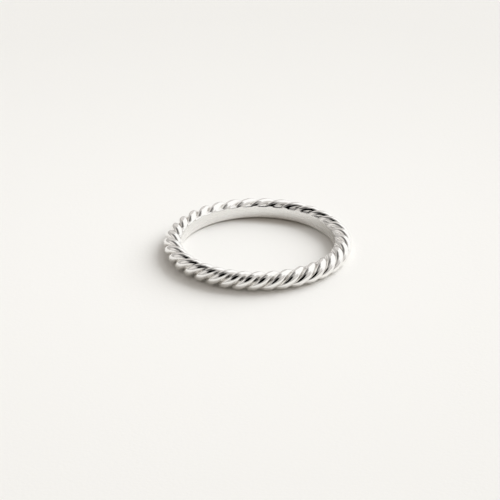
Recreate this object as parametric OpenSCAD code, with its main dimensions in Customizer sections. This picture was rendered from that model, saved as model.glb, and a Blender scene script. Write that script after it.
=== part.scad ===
// Twisted rope band ring: three round strands laid round each other, with a plain wall inside.
// Lengths in mm. The ring lies on its side on z = 0, its axis on +Z, the tightest turns towards -Y.

/* [Ring] */

// finger hole, across
bore_d = 17.1; // [14:0.1:22]

// rope, over its strands
rope_d = 2.1; // [1.8:0.1:2.8]

// how far the finger hole cuts into the inner side of the rope
bore_cut = 0.16; // [0.12:0.02:0.36]

/* [Inner wall] */

// height of the plain wall round the finger hole, with its chamfers
wall_h = 1.5; // [1.2:0.1:1.6]

// how far the middle of that wall lies below the middle of the rope
wall_drop = 0.2; // [0:0.05:0.2]

// chamfer on both edges of the wall
wall_chamfer = 0.1; // [0.05:0.05:0.15]

// how far the wall reaches out from the finger hole
wall_t = 0.5; // [0.4:0.1:0.7]

/* [Twist] */

// strand crests counted once round the outside
crests = 34; // [26:1:42]

// strands in the rope
strands = 3; // [2:1:3]

// radius at the bottom of the grooves, as a share of the rope's own
groove_share = 0.6; // [0.5:0.02:0.8]

// how far the crests wander from an even spacing, once round, in crests
swing_once = 0.45; // [0:0.01:0.8]

// ring angle where that swing packs the crests closest
swing_once_at = 291; // [0:0.5:360]

// the same, for a swing that goes twice round
swing_twice = 0.08; // [0:0.01:0.2]

// ring angle where the second swing packs them closest
swing_twice_at = 88.5; // [0:0.5:360]

// the same, for a swing that goes three times round
swing_thrice = 0.08; // [0:0.01:0.2]

// ring angle where the third swing packs them closest
swing_thrice_at = 7.5; // [0:0.5:360]

// where on the section the first strand starts, degrees
start_turn = 116.3; // [0:0.1:120]

/* [Mesh] */

// sections along one crest
crest_steps = 6; // [4:1:7]

// points across one strand
strand_points = 8; // [6:2:8]

/* [Hidden] */

bore_r = bore_d / 2;
rope_r = rope_d / 2;

// radius of the rope's centre line
line_r = bore_r + rope_r - bore_cut;

// one strand, round, and how far its centre stands off the rope's
wire_r = rope_r / (1 + 1 / sin(180 / strands));
wire_off = rope_r - wire_r;

// a strand leans, so the section cuts it as an oval: deep as the wire, wider round the rope
lay = 2 * PI * line_r * strands / crests;
lean = atan2(lay, 2 * PI * wire_off);
wire_wide = wire_r / sin(lean);

// sections once round the ring, and points once round a section
sections = crests * crest_steps;
around = strands * strand_points;

// index steps the last section is turned by when it meets the first
seam = (crests * strand_points) % around;

// sides drawn on the round faces
smooth = 180;

// half the angle one strand takes up in the section
half_strand = 180 / strands;

// radius of the oval strand at an angle off its middle
function oval(off) =
    let (a = pow(cos(off) / wire_r, 2) + pow(sin(off) / wire_wide, 2))
    let (b = -2 * wire_off * cos(off) / pow(wire_r, 2))
    let (c = pow(wire_off / wire_r, 2) - 1)
    (-b + sqrt(max(b * b - 4 * a * c, 0))) / (2 * a);

// section radius at an angle round the rope, counted from a groove
function section_r(u) =
    let (off = abs((u % (2 * half_strand)) - half_strand))
    max(oval(off), groove_share * rope_r);

// turn of the section at a ring angle
function turn(t) =
    let (once = swing_once * 360 * sin(t - swing_once_at))
    let (twice = swing_twice * 360 * sin(2 * (t - swing_twice_at)))
    let (thrice = swing_thrice * 360 * sin(3 * (t - swing_thrice_at)))
    (crests * t + once + twice + thrice) / strands + start_turn;

function rope_point(i, j) =
    let (t = 360 * i / sections)
    let (u = 360 * j / around)
    let (p = u + turn(t))
    let (r = section_r(u))
    let (out = line_r + r * cos(p))
    [out * cos(t), out * sin(t), r * sin(p)];

// index of a point, counting on past the last section to the first one turned by the seam
function at(i, j) =
    i < sections
    ? i * around + j % around
    : (j + seam) % around;

module rope() {
    points = [for (i = [0 : sections - 1], j = [0 : around - 1]) rope_point(i, j)];
    faces = [
        for (i = [0 : sections - 1], j = [0 : around - 1])
        each [
            [at(i, j), at(i, j + 1), at(i + 1, j)],
            [at(i, j + 1), at(i + 1, j + 1), at(i + 1, j)]
        ]
    ];
    polyhedron(points, faces, convexity = 8);
}

// the wall is drawn a little into the finger hole, which is cut out of it afterwards
// it always ends 0.1 or more above the surface that the ring lies on
module wall() {
    middle = max(-wall_drop, wall_h / 2 + 0.1 - rope_r);
    inside = bore_r - 0.1;
    land = wall_h / 2 - wall_chamfer - 0.1;
    half = [
        [bore_r + wall_t, wall_h / 2],
        [bore_r + wall_chamfer, wall_h / 2],
        [inside, land]
    ];
    translate([0, 0, middle])
    rotate_extrude($fn = smooth)
    polygon(concat(half, [for (i = [2 : -1 : 0]) [half[i][0], -half[i][1]]]));
}

module finger_hole() {
    cylinder(h = 2 * rope_d, r = bore_r, center = true, $fn = smooth);
}

module twisted_band() {
    color([0.9, 0.9, 0.88])
    translate([0, 0, rope_r])
    difference() {
        union() {
            rope();
            wall();
        }
        finger_hole();
    }
}

twisted_band();
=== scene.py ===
import math

import bpy
import numpy as np
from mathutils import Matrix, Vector


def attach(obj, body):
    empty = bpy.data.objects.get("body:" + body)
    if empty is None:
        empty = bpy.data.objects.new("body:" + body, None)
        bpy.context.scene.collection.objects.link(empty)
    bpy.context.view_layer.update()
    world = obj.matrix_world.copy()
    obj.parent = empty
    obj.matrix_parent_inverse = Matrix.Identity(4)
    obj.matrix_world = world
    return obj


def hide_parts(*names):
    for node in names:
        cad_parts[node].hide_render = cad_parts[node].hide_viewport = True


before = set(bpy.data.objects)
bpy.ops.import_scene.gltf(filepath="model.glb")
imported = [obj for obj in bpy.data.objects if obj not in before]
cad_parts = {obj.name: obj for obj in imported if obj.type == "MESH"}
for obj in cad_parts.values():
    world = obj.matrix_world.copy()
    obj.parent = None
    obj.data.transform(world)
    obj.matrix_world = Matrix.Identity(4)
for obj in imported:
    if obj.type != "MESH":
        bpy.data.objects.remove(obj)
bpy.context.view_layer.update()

MM = 0.001
TAU = 2 * math.pi

# The ring, in mm, with the CAD part's own values.
BORE_R = 8.55
ROPE_R = 1.05
BORE_CUT = 0.16  # how far the finger hole cuts into the inner side of the rope
WALL_H = 1.5
WALL_DROP = 0.2  # how far the middle of the plain wall lies below the middle of the rope
WALL_CHAMFER = 0.1
WALL_T = 0.5  # how far the wall reaches out from the finger hole

# Worked out from these, in mm.
LINE_R = BORE_R + ROPE_R - BORE_CUT  # the rope's centre line
OUTER_R = LINE_R + ROPE_R
HOLE_IN = LINE_R - BORE_R  # from the centre line in to the finger hole
WALL_TOP = WALL_H / 2 - WALL_DROP  # how far the wall reaches over the centre line, and under it
WALL_BOTTOM = WALL_H / 2 + WALL_DROP

# The twist, with the CAD part's own values.
CRESTS = 34
STRANDS = 3
START_TURN = 116.3  # degrees
SWINGS = [(1, 0.45, 291.0), (2, 0.08, 88.5), (3, 0.08, 7.5)]  # times round, crests, ring angle in degrees

# How the surfaces run into each other, in mm.
GROOVE_R = 0.58  # radius at the bottom of the grooves, before they are softened
GROOVE_BLEND = 0.063
WALL_BLEND = 0.05
BORE_BLEND = 0.03
BARE_OVER = 0.08  # where the wall stands this far over a groove, it has filled the groove
BORE_MARGIN = 0.01  # what lies closer to the finger hole than this has no groove

# The wall's hidden outer side, which the rope covers.
WALL_BACK = math.radians(55)  # way that it faces, up from outward
WALL_END = 0.3  # cosine of the section angle where the wall stops, inside the rope

# Keeps the radius of a flat side finite where the side is seen edge on, or from behind.
LEAST_FACING = 0.05

# The mesh: points across one strand, and lines round the ring.
ACROSS = 22
LINES = 104
GROOVE_CROWDING = 0.45  # how much closer the points lie at a groove, from 0 to 1
EDGE_CROWDING = 3.0  # how many more lines there are at the wall's edges, in times the even number
EDGE_WIDTH = math.radians(5)  # section angle over which they crowd there
SECTION_SAMPLES = 4001
TWIST_SAMPLES = 40001
TWIST_FROM, TWIST_TO = -0.2, 1.4  # turns round the ring that the samples go over
STRAND_APART = 7.0  # sets the pattern on one strand apart from the next one's, in mm

# The camera, measured in the photo, whose frame is 500 x 500.
FRAME_PX = 500
RING_CENTRE_PX = (257.8, 243.0)
RING_RADIUS_PX = 94.2
CAMERA_ELEVATION = math.radians(25.85)
CAMERA_DISTANCE = 28 * OUTER_R * MM
SENSOR = 36.0

# Light: the room's own brightness, and soft patches of it as
# (azimuth, elevation, inner radius, outer radius, brightness), all angles in degrees.
ROOM = 0.48
PATCHES = [
    (126, 38, 38, 58, 1.05),
    (-112, 62, 12, 30, 0.14),
    (-60, 66, 4, 20, 0.13),
    (-16, 42, 22, 34, 0.00),
    (60, 30, 8, 26, 0.66),
    (190, 28, 15, 23, 0.66),
    (-94, 28, 14, 26, 0.75),
    (8, 87, 6, 18, 0.42),
]
LIT_OVER = 0.9  # a patch brighter than this is a lit wall
LIT_TINT = (1.0, 0.995, 0.985)
DIM_TINT = (1.04, 1.0, 0.962)  # of everything darker

# These lights fall on the floor alone. What the silver mirrors is the room.
# Name, azimuth, elevation, width in degrees, strength, colour.
FLOOR_LIGHTS = [
    ("key", 129, 34, 48, 2.7, (0.955, 1.0, 1.05)),
    ("fill", -20, 40, 70, 0.15, (1.08, 1.0, 0.9)),
]

# The silver's colour, by how thick the film in its grooves is.
FILM_COLOURS = [
    (0.30, (0.955, 0.948, 0.93)),
    (0.72, (0.84, 0.825, 0.80)),
    (1.00, (0.50, 0.475, 0.445)),
]
FILM_UNEVEN = (0.65, 1.1)  # share of the film that its thinnest and thickest patches have

# Roughness.
SILVER_ROUGH = (0.03, 0.07)  # lowest and highest along the drawn and turned lines
FILM_DULL = 0.12  # what the thickest film adds
FILM_DULL_FROM = 0.45  # thickness from which the film adds any
WALL_SATIN = 0.22  # what the plain wall has over the strands
FLOOR_ROUGH = (0.5, 0.7)

# The floor. Lengths are in metres, and distances are from the ring's axis.
FLOOR_SIZE = 2.5
# From FLOOR_NEAR to FLOOR_FAR the floor's colour darkens away from the ring: a painted fall-off of light.
FLOOR_NEAR = (0.92, 0.897, 0.856)
FLOOR_FAR = (0.848, 0.826, 0.785)
FALL_FROM, FALL_TO = 0.012, 0.075
FALL_WAVER = 0.006  # how far the mottling moves the fall-off

# Painted shade in the floor's colour, deepest close in front of the far wall, where the wall's shadow
# falls.
# It starts at FOOT_FROM from the ring's axis and is full at FOOT_TO.
PAINTED_FOOT_SHADE = (0.67, 0.635, 0.60)
FOOT_AZIMUTH = 168
FOOT_FROM, FOOT_TO = 0.0066, 0.0083

# Fine patterns, as a scale along x, y and z and the layers of detail.
# The scales are per mm for the drawn lines, and per metre for the rest.
DRAWN_LINES = (11.0, 0.9, 1.0), 2.0
TURNED_LINES = (90, 90, 14000), 2.0
DENTS = (1100, 1100, 1100), 1.0
FILM_PATCHES = (700, 700, 700), 3.0
MOTTLING = (60, 60, 60), 3.0
GRAIN = (2500, 2500, 2500), 2.0

# Most of a pattern's values lie between the first and the last of these.
PATTERN_LOW, PATTERN_MIDDLE, PATTERN_HIGH = 0.3, 0.5, 0.7

# Depth of the fine relief on the surfaces, in metres.
DENT_DEPTH = 4e-6
DRAWN_DEPTH = 2.5e-6
TURNED_DEPTH = 1e-6
GRAIN_DEPTH = 12e-6

# Sockets of the Mix node for colours, where each name stands for several.
MIX_FACTOR, MIX_UNDER, MIX_OVER, MIX_RESULT = 0, 6, 7, 2


def direction(azimuth, elevation):
    """Where something lies, seen from the ring. Azimuth 0 is the camera's side and 90 is the right."""
    a, e = math.radians(azimuth), math.radians(elevation)
    return Vector((math.cos(e) * math.sin(a), -math.cos(e) * math.cos(a), math.sin(e)))


# The ring's mesh

def soft_min(a, b, width):
    h = np.clip(0.5 + 0.5 * (b - a) / width, 0, 1)
    return b + (a - b) * h - width * h * (1 - h)


def soft_max(a, b, width):
    return -soft_min(-a, -b, width)


def twist(ring_angle):
    """Turn of the rope at a ring angle, a whole turn for each crest that goes by, in radians."""
    total = CRESTS * ring_angle + STRANDS * math.radians(START_TURN)
    for times, crests, closest in SWINGS:
        total = total + TAU * crests * np.sin(times * (ring_angle - math.radians(closest)))
    return total


def strand_radius(off):
    """Section radius over one strand, at an angle off its middle."""
    wire_r = ROPE_R / (1 + 1 / math.sin(math.pi / STRANDS))
    wire_off = ROPE_R - wire_r
    lay = TAU * LINE_R * STRANDS / CRESTS
    wire_wide = wire_r / math.sin(math.atan2(lay, TAU * wire_off))
    a = (np.cos(off) / wire_r) ** 2 + (np.sin(off) / wire_wide) ** 2
    b = -2 * wire_off * np.cos(off) / wire_r ** 2
    c = (wire_off / wire_r) ** 2 - 1
    return (-b + np.sqrt(np.maximum(b * b - 4 * a * c, 0))) / (2 * a)


def plane_radius(angle, normal_angle, distance):
    """Section radius of a flat side; far away where the side doesn't face."""
    return distance / np.maximum(np.cos(angle - normal_angle), LEAST_FACING)


def wall_radius(angle):
    """Section radius of the plain inner wall, and of the finger hole that limits everything."""
    wall = np.full_like(angle, 2 * ROPE_R)
    for side, height in [(1, WALL_TOP), (-1, WALL_BOTTOM)]:
        corner = math.atan2(height, WALL_T - HOLE_IN)
        back = math.hypot(HOLE_IN - WALL_T, height) * math.cos(corner - WALL_BACK)
        chamfer = (HOLE_IN + height - WALL_CHAMFER) / math.sqrt(2)
        for facing, distance in [(math.pi / 2, height), (0.75 * math.pi, chamfer), (WALL_BACK, back)]:
            wall = soft_min(wall, plane_radius(angle, side * facing, distance), WALL_BLEND)
    return np.where(np.cos(angle) < WALL_END, wall, 0), plane_radius(angle, math.pi, HOLE_IN)


def line_angles():
    """Section angles of the mesh lines round the ring, from the wall's middle on.

    They are crowded at the wall's edges.
    """
    fine = np.linspace(-math.pi, math.pi, SECTION_SAMPLES)
    density = np.ones_like(fine)
    for corner in (math.atan2(WALL_BOTTOM, HOLE_IN), -math.atan2(WALL_TOP, HOLE_IN)):
        density += EDGE_CROWDING * np.exp(-((fine - corner) / EDGE_WIDTH) ** 2)
    total = np.concatenate([[0], np.cumsum((density[1:] + density[:-1]) / 2)])
    share = np.arange(LINES) / LINES
    return np.interp(share, total / total[-1], fine) + math.pi


def ring_points():
    """Points of the ring, one row for each line round it, and what the silver needs to know of them.

    That is how deep in a groove each one lies, how much it belongs to the plain wall, and where on its
    strand it is.
    """
    angles = line_angles()
    place = np.arange(CRESTS * ACROSS) / ACROSS
    within = place % 1
    strand = place - GROOVE_CROWDING * np.sin(TAU * within) / TAU
    off = np.abs((strand % 1) - 0.5) * TAU / STRANDS
    rope = soft_max(strand_radius(off), np.full_like(off, GROOVE_R), GROOVE_BLEND)

    # Where each strand line crosses each line round the ring.
    fine = np.linspace(TWIST_FROM * TAU, TWIST_TO * TAU, TWIST_SAMPLES)
    wanted = STRANDS * angles[:, None] + TAU * strand[None, :]
    ring_angle = np.interp(wanted, twist(fine), fine)

    wall, hole = wall_radius(angles)
    radius = soft_max(rope[None, :], wall[:, None], WALL_BLEND)
    radius = soft_min(radius, hole[:, None], BORE_BLEND)
    out = LINE_R + radius * np.cos(angles)[:, None]
    up = ROPE_R + radius * np.sin(angles)[:, None]
    points = np.stack([out * np.cos(ring_angle), out * np.sin(ring_angle), up], -1)
    depth = np.clip((ROPE_R - rope[None, :]) / (ROPE_R - GROOVE_R), 0, 1)
    bare = np.clip(1 - (radius - rope[None, :]) / BARE_OVER, 0, 1)
    bare = bare * (radius < hole[:, None] - BORE_MARGIN)

    # In mm: across the strand, along it, and well apart from one strand to the next.
    lay = np.empty_like(points)
    lay[..., 0] = TAU * ROPE_R / STRANDS * (strand % 1)
    lay[..., 1] = LINE_R * ring_angle
    lay[..., 2] = STRAND_APART * np.floor(strand)
    return points * MM, depth * bare, 1 - bare, lay


def ring_faces():
    """Quads between neighbouring points.

    The last line meets the first one a whole turn of the rope further on.
    """
    across = CRESTS * ACROSS
    line, place = np.meshgrid(np.arange(LINES), np.arange(across), indexing="ij")
    shift = np.where(line == LINES - 1, STRANDS * ACROSS, 0)
    after = (line + 1) % LINES
    beside = (place + 1) % across
    corners = [
        line * across + place,
        line * across + beside,
        after * across + (beside + shift) % across,
        after * across + (place + shift) % across,
    ]
    return np.stack(corners, -1).reshape(-1, 4)


def new_mesh(name, points, faces):
    mesh = bpy.data.meshes.new(name)
    mesh.vertices.add(len(points))
    mesh.vertices.foreach_set("co", points.astype(np.float32).ravel())
    mesh.loops.add(faces.size)
    mesh.loops.foreach_set("vertex_index", faces.astype(np.int32).ravel())
    mesh.polygons.add(len(faces))
    mesh.polygons.foreach_set("loop_start", np.arange(0, faces.size, 4, dtype=np.int32))
    mesh.update(calc_edges=True)
    mesh.shade_smooth()
    return mesh


def add_object(name, data):
    obj = bpy.data.objects.new(name, data)
    bpy.context.scene.collection.objects.link(obj)
    return obj


def make_ring():
    points, depth, wall, lay = ring_points()
    mesh = new_mesh("rope_band", points.reshape(-1, 3), ring_faces())
    for name, values in [("groove", depth), ("wall", wall)]:
        layer = mesh.attributes.new(name, "FLOAT", "POINT")
        layer.data.foreach_set("value", values.astype(np.float32).ravel())
    strands = mesh.attributes.new("lay", "FLOAT_VECTOR", "POINT")
    strands.data.foreach_set("vector", lay.astype(np.float32).ravel())
    return add_object("rope_band", mesh)


# Shader nodes

def new_material(name, roughness, metallic):
    """A material with its nodes. The roughness given is for viewers that don't follow them."""
    material = bpy.data.materials.new(name)
    material.use_nodes = True
    nodes = material.node_tree.nodes
    shader = nodes["Principled BSDF"]
    shader.inputs["Roughness"].default_value = roughness
    shader.inputs["Metallic"].default_value = metallic
    return material, nodes, material.node_tree.links, shader


def attribute(nodes, name, output):
    node = nodes.new("ShaderNodeAttribute")
    node.attribute_name = name
    return node.outputs[output]


def noise(nodes, links, vector, scale, detail):
    """Noise of a size of about 1 / scale, with its own scale along each axis."""
    mapping = nodes.new("ShaderNodeMapping")
    mapping.inputs["Scale"].default_value = scale
    links.new(vector, mapping.inputs["Vector"])
    texture = nodes.new("ShaderNodeTexNoise")
    texture.inputs["Scale"].default_value = 1.0
    texture.inputs["Detail"].default_value = detail
    links.new(mapping.outputs["Vector"], texture.inputs["Vector"])
    return texture.outputs["Fac"]


def ramp(nodes, links, value, stops):
    """Colour ramp through (position, colour) stops."""
    node = nodes.new("ShaderNodeValToRGB")
    elements = node.color_ramp.elements
    while len(elements) < len(stops):
        elements.new(1.0)
    for element, (position, colour) in zip(elements, stops):
        element.position = position
        element.color = (*colour, 1)
    links.new(value, node.inputs["Fac"])
    return node.outputs["Color"]


def remap(nodes, links, value, low, high, to_low, to_high, smooth=False):
    node = nodes.new("ShaderNodeMapRange")
    if smooth:
        node.interpolation_type = "SMOOTHSTEP"
    for name, number in [("From Min", low), ("From Max", high), ("To Min", to_low), ("To Max", to_high)]:
        node.inputs[name].default_value = number
    links.new(value, node.inputs["Value"])
    return node.outputs[0]


def calculate(nodes, links, operation, first, second):
    node = nodes.new("ShaderNodeMath")
    node.operation = operation
    for socket, value in zip(node.inputs, (first, second)):
        if isinstance(value, (int, float)):
            socket.default_value = value
        else:
            links.new(value, socket)
    return node.outputs[0]


def length(nodes, links, vector):
    node = nodes.new("ShaderNodeVectorMath")
    node.operation = "LENGTH"
    links.new(vector, node.inputs[0])
    return node.outputs["Value"]


def along(nodes, links, vector, way):
    """How far a vector goes one way."""
    node = nodes.new("ShaderNodeVectorMath")
    node.operation = "DOT_PRODUCT"
    node.inputs[1].default_value = way
    links.new(vector, node.inputs[0])
    return node.outputs["Value"]


def mixed(nodes, links, factor, under, colour, blend="MIX"):
    """One plain colour laid over what is there."""
    node = nodes.new("ShaderNodeMix")
    node.data_type = "RGBA"
    node.blend_type = blend
    node.inputs[MIX_OVER].default_value = (*colour, 1)
    links.new(factor, node.inputs[MIX_FACTOR])
    links.new(under, node.inputs[MIX_UNDER])
    return node.outputs[MIX_RESULT]


def bump(nodes, links, height, distance, below=None):
    node = nodes.new("ShaderNodeBump")
    node.inputs["Distance"].default_value = distance
    links.new(height, node.inputs["Height"])
    if below:
        links.new(below, node.inputs["Normal"])
    return node.outputs["Normal"]


# Materials

def lines_on(nodes, links, pattern, where):
    """The pattern, centred on zero, on the part of the surface that has it."""
    centred = calculate(nodes, links, "SUBTRACT", pattern, PATTERN_MIDDLE)
    return calculate(nodes, links, "MULTIPLY", centred, where)


def silver_material():
    """Polished silver: drawn lines along each strand, soft dents, and a darker, duller film in the grooves.

    The wall round the finger hole is turned, so it is more satin, with fine lines round it.
    """
    material, nodes, links, shader = new_material("silver", roughness=0.08, metallic=1.0)
    groove = attribute(nodes, "groove", "Fac")
    wall = attribute(nodes, "wall", "Fac")
    lay = attribute(nodes, "lay", "Vector")
    place = nodes.new("ShaderNodeTexCoord").outputs["Object"]
    strands = calculate(nodes, links, "SUBTRACT", 1.0, wall)

    patches = noise(nodes, links, place, *FILM_PATCHES)
    uneven = remap(nodes, links, patches, PATTERN_LOW, PATTERN_HIGH, *FILM_UNEVEN)
    film = calculate(nodes, links, "MULTIPLY", groove, uneven)
    links.new(ramp(nodes, links, film, FILM_COLOURS), shader.inputs["Base Color"])

    drawn = lines_on(nodes, links, noise(nodes, links, lay, *DRAWN_LINES), strands)
    turned = lines_on(nodes, links, noise(nodes, links, place, *TURNED_LINES), wall)
    streaks = calculate(nodes, links, "ADD", drawn, turned)
    reach = PATTERN_HIGH - PATTERN_MIDDLE
    worn = remap(nodes, links, streaks, -reach, reach, *SILVER_ROUGH)
    dull = remap(nodes, links, film, FILM_DULL_FROM, 1.0, 0.0, FILM_DULL)
    rough = calculate(nodes, links, "ADD", worn, dull)
    satin = calculate(nodes, links, "MULTIPLY", wall, WALL_SATIN)
    links.new(calculate(nodes, links, "ADD", rough, satin), shader.inputs["Roughness"])

    normal = bump(nodes, links, noise(nodes, links, place, *DENTS), DENT_DEPTH)
    normal = bump(nodes, links, drawn, DRAWN_DEPTH, normal)
    links.new(bump(nodes, links, turned, TURNED_DEPTH, normal), shader.inputs["Normal"])
    return material


def painted_foot_shade(nodes, links, place, distance):
    """How much painted shade a place on the floor has: only inside the ring, at the foot of the far wall.
    """
    towards = along(nodes, links, place, direction(FOOT_AZIMUTH, 0))
    near_foot = remap(nodes, links, towards, FOOT_FROM, FOOT_TO, 0, 1, smooth=True)
    inside = remap(nodes, links, distance, BORE_R * MM, LINE_R * MM, 1, 0)
    return calculate(nodes, links, "MULTIPLY", near_foot, inside)


def floor_material():
    """Matt white board: fine grain, faint mottling, a painted fall-off of light that darkens it slowly away
    from the ring, and painted shade at the foot of the far wall.
    """
    material, nodes, links, shader = new_material("floor", roughness=0.6, metallic=0.0)
    place = nodes.new("ShaderNodeTexCoord").outputs["Object"]
    distance = length(nodes, links, place)
    mottling = noise(nodes, links, place, *MOTTLING)
    waver = calculate(nodes, links, "MULTIPLY", mottling, FALL_WAVER)
    spread = calculate(nodes, links, "ADD", distance, waver)
    # Painted fall-off of light: the floor's colour darkens away from the ring.
    fall = remap(nodes, links, spread, FALL_FROM, FALL_TO, 0, 1)
    tone = ramp(nodes, links, fall, [(0.0, FLOOR_NEAR), (1.0, FLOOR_FAR)])
    # Painted shade: the floor's colour is darkened at the far wall's foot, where the wall's shadow falls.
    shade = painted_foot_shade(nodes, links, place, distance)
    links.new(mixed(nodes, links, shade, tone, PAINTED_FOOT_SHADE, "MULTIPLY"), shader.inputs["Base Color"])
    grain = noise(nodes, links, place, *GRAIN)
    rough = remap(nodes, links, grain, PATTERN_LOW, PATTERN_HIGH, *FLOOR_ROUGH)
    links.new(rough, shader.inputs["Roughness"])
    links.new(bump(nodes, links, grain, GRAIN_DEPTH), shader.inputs["Normal"])
    return material


# Stage

def make_floor():
    half = FLOOR_SIZE / 2
    corners = np.array([(-half, -half, 0), (half, -half, 0), (half, half, 0), (-half, half, 0)], float)
    return add_object("floor", new_mesh("floor", corners, np.array([[0, 1, 2, 3]])))


def tinted(brightness):
    tint = LIT_TINT if brightness > LIT_OVER else DIM_TINT
    return [brightness * channel for channel in tint]


def make_room():
    world = bpy.data.worlds.new("room")
    bpy.context.scene.world = world
    world.use_nodes = True
    nodes, links = world.node_tree.nodes, world.node_tree.links
    unit = nodes.new("ShaderNodeVectorMath")
    unit.operation = "NORMALIZE"
    links.new(nodes.new("ShaderNodeTexCoord").outputs["Generated"], unit.inputs[0])
    plain = nodes.new("ShaderNodeRGB").outputs[0]
    plain.default_value = (*tinted(ROOM), 1)
    result = plain
    for azimuth, elevation, inner, outer, brightness in PATCHES:
        towards = along(nodes, links, unit.outputs[0], direction(azimuth, elevation))
        edge, core = math.cos(math.radians(outer)), math.cos(math.radians(inner))
        inside = remap(nodes, links, towards, edge, core, 0, 1, smooth=True)
        result = mixed(nodes, links, inside, result, tinted(brightness))
    links.new(result, nodes["Background"].inputs["Color"])


def make_floor_lights():
    for name, azimuth, elevation, width, strength, colour in FLOOR_LIGHTS:
        light = bpy.data.lights.new(name, "SUN")
        light.energy = strength
        light.angle = math.radians(width)
        light.color = colour
        obj = add_object(name, light)
        obj.visible_glossy = False
        obj.rotation_euler = (-direction(azimuth, elevation)).to_track_quat("-Z", "Y").to_euler()


def make_camera():
    camera = bpy.data.cameras.new("camera")
    camera.sensor_width = SENSOR
    camera.lens = RING_RADIUS_PX / (OUTER_R * MM) * CAMERA_DISTANCE * SENSOR / FRAME_PX
    camera.clip_start = MM
    camera.shift_x = (FRAME_PX / 2 - RING_CENTRE_PX[0]) / FRAME_PX
    camera.shift_y = (RING_CENTRE_PX[1] - FRAME_PX / 2) / FRAME_PX
    obj = add_object("camera", camera)
    ahead = Vector((0, math.cos(CAMERA_ELEVATION), -math.sin(CAMERA_ELEVATION)))
    obj.location = Vector((0, 0, ROPE_R * MM)) - ahead * CAMERA_DISTANCE
    obj.rotation_euler = ahead.to_track_quat("-Z", "Y").to_euler()
    bpy.context.scene.camera = obj
    bpy.context.scene.view_settings.view_transform = "Standard"


ring = make_ring()
ring.data.materials.append(silver_material())
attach(ring, "root")
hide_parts("twisted_band")

floor = make_floor()
floor.data.materials.append(floor_material())

make_room()
make_floor_lights()
make_camera()
